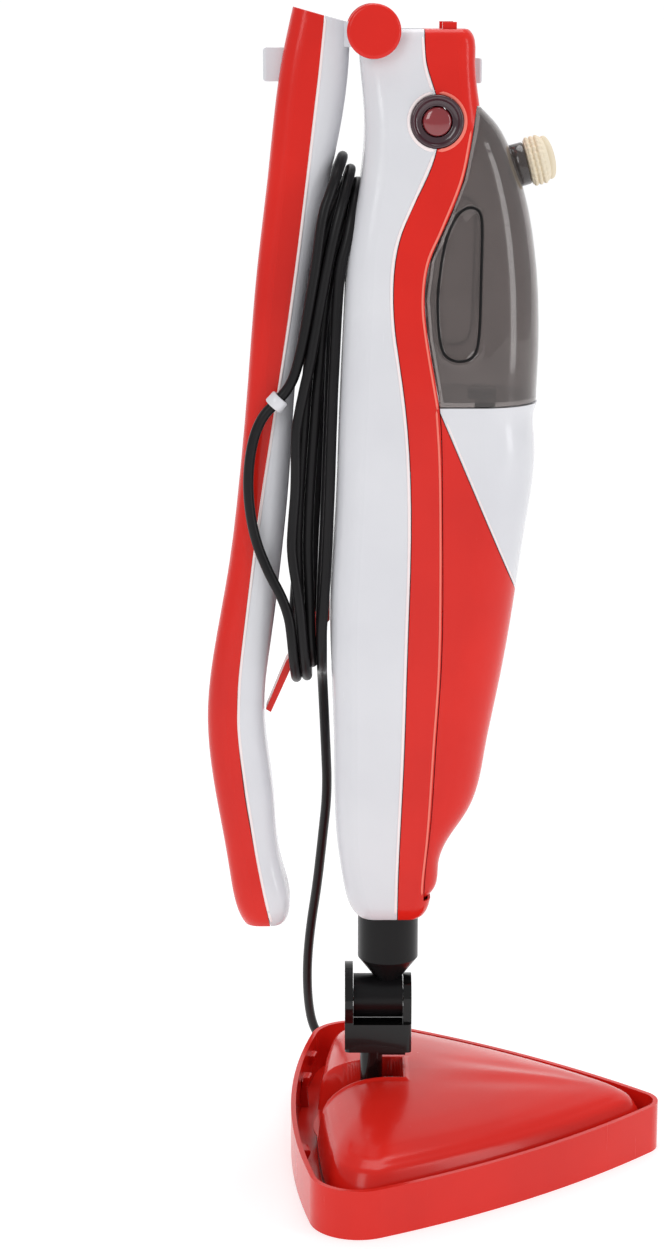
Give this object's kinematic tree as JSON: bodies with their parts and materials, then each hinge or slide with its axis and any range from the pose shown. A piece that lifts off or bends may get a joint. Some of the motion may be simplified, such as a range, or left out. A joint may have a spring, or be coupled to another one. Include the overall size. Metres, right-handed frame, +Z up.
{
  "type": "steam mop",
  "caption": "Folding upright steam mop with a lift-off smoked water tank, a three-cornered head in a carpet glider, a jointed neck and its lead wound behind the body.",
  "frame": {"origin": "on the floor under the neck, on the underside of the carpet glider", "axes": "+Z up, +X towards the water tank and the head's nose, Y across the body"},
  "size_m": [0.2782, 0.3049, 0.6983],
  "materials": {
    "red_plastic": "glossy moulded",
    "white_plastic": "glossy moulded",
    "black_plastic": "satin moulded",
    "dark_trim": "dark glossy",
    "red_button": "clear-coated",
    "smoke_plastic": "clear smoked",
    "cream_plastic": "soft moulded",
    "steel": "satin",
    "aluminium": "die cast",
    "rubber": "matt",
    "silicone_hose": "matt",
    "circuit_board": "lacquered",
    "microfibre": "looped pile",
    "cord_rubber": "satin jacket",
    "brass": "nickel-plated"
  },
  "bodies": {
    "glider": {"carpet_glider": "red_plastic"},
    "head": {"mop_pad": "microfibre", "sole_plate": "black_plastic", "head_cover": "red_plastic", "tilt_socket": "black_plastic", "tilt_pin": "steel"},
    "yoke": {"swivel_yoke": "black_plastic", "swivel_pin": "steel"},
    "body": {"neck_collar": "black_plastic", "neck_seal": "rubber", "rear_shell": "white_plastic", "side_frame": "red_plastic", "bowl": "white_plastic", "front_shell": "red_plastic", "chassis": "black_plastic", "tank_seat": "black_plastic", "shell_screws": "steel", "hinge_block": "white_plastic", "hinge_axle": "steel", "knob_left": "red_plastic", "knob_right": "red_plastic", "bezel_left": "dark_trim", "bezel_right": "dark_trim", "upper_cord_hook": "white_plastic", "lower_cord_hook": "red_plastic", "boiler": "aluminium", "heating_ring": "steel", "thermostat": "steel", "water_pump": "black_plastic", "control_board": "circuit_board", "steam_switch": "black_plastic", "steam_pipe": "silicone_hose", "feed_hose": "silicone_hose", "cord_gland": "cord_rubber", "cord_lead": "cord_rubber", "cord_hank": "cord_rubber", "cord_loop": "cord_rubber", "cord_tail": "cord_rubber", "plug": "cord_rubber", "plug_pins": "brass"},
    "handle": {"handle_outer_shell": "red_plastic", "handle_inner_shell": "white_plastic", "hinge_barrel": "white_plastic", "cord_clip": "white_plastic"},
    "fold_button": {"fold_button": "white_plastic"},
    "latch_button": {"latch_button": "white_plastic"},
    "top_catch": {"top_catch": "red_plastic"},
    "side_button_left": {"side_button_left": "red_button"},
    "side_button_right": {"side_button_right": "red_button"},
    "tank": {"water_tank": "smoke_plastic", "tank_valve": "black_plastic"},
    "filler_cap": {"filler_cap": "cream_plastic"}
  },
  "joints": [
    {"name": "head_lift", "type": "slide", "parent": "glider", "child": "head", "axis": [0, 0, 1], "range_m": [0, 0.06], "deforming": ["cord_tail", "plug", "plug_pins"]},
    {"name": "neck_tilt", "type": "hinge", "parent": "head", "child": "yoke", "pos_m": [-0.01, 0, 0.032], "axis": [0, -1, 0], "range_deg": [0, 60], "deforming": ["cord_tail", "plug", "plug_pins"]},
    {"name": "neck_swivel", "type": "hinge", "parent": "yoke", "child": "body", "pos_m": [-0.006, 0, 0.099], "axis": [1, 0, 0], "range_deg": [-75, 75], "deforming": ["cord_tail", "plug", "plug_pins"]},
    {"name": "handle_fold", "type": "hinge", "parent": "body", "child": "handle", "pos_m": [-0.0108, 0, 0.683], "axis": [0, 1, 0], "range_deg": [0, 157], "deforming": ["cord_loop"]},
    {"name": "fold_button_press", "type": "slide", "parent": "handle", "child": "fold_button", "axis": [1, 0, 0], "range_m": [0, 0.0035], "stiffness_N_per_m": 900},
    {"name": "latch_press", "type": "slide", "parent": "body", "child": "latch_button", "axis": [-1, 0, 0], "range_m": [0, 0.003], "stiffness_N_per_m": 900},
    {"name": "top_catch_press", "type": "slide", "parent": "body", "child": "top_catch", "axis": [0, 0, -1], "range_m": [0, 0.003], "stiffness_N_per_m": 900},
    {"name": "side_button_left_press", "type": "slide", "parent": "body", "child": "side_button_left", "axis": [0, 1, 0], "range_m": [0, 0.0025], "stiffness_N_per_m": 900},
    {"name": "side_button_right_press", "type": "slide", "parent": "body", "child": "side_button_right", "axis": [0, -1, 0], "range_m": [0, 0.0025], "stiffness_N_per_m": 900},
    {"name": "tank_lift_off", "type": "slide", "parent": "body", "child": "tank", "axis": [0.8, 0, 0.6], "range_m": [0, 0.09]},
    {"name": "filler_cap_turn", "type": "hinge", "parent": "tank", "child": "filler_cap", "pos_m": [0.0746, 0, 0.607], "axis": [0.9659, 0, 0.2588], "range_deg": [0, 90]}
  ]
}
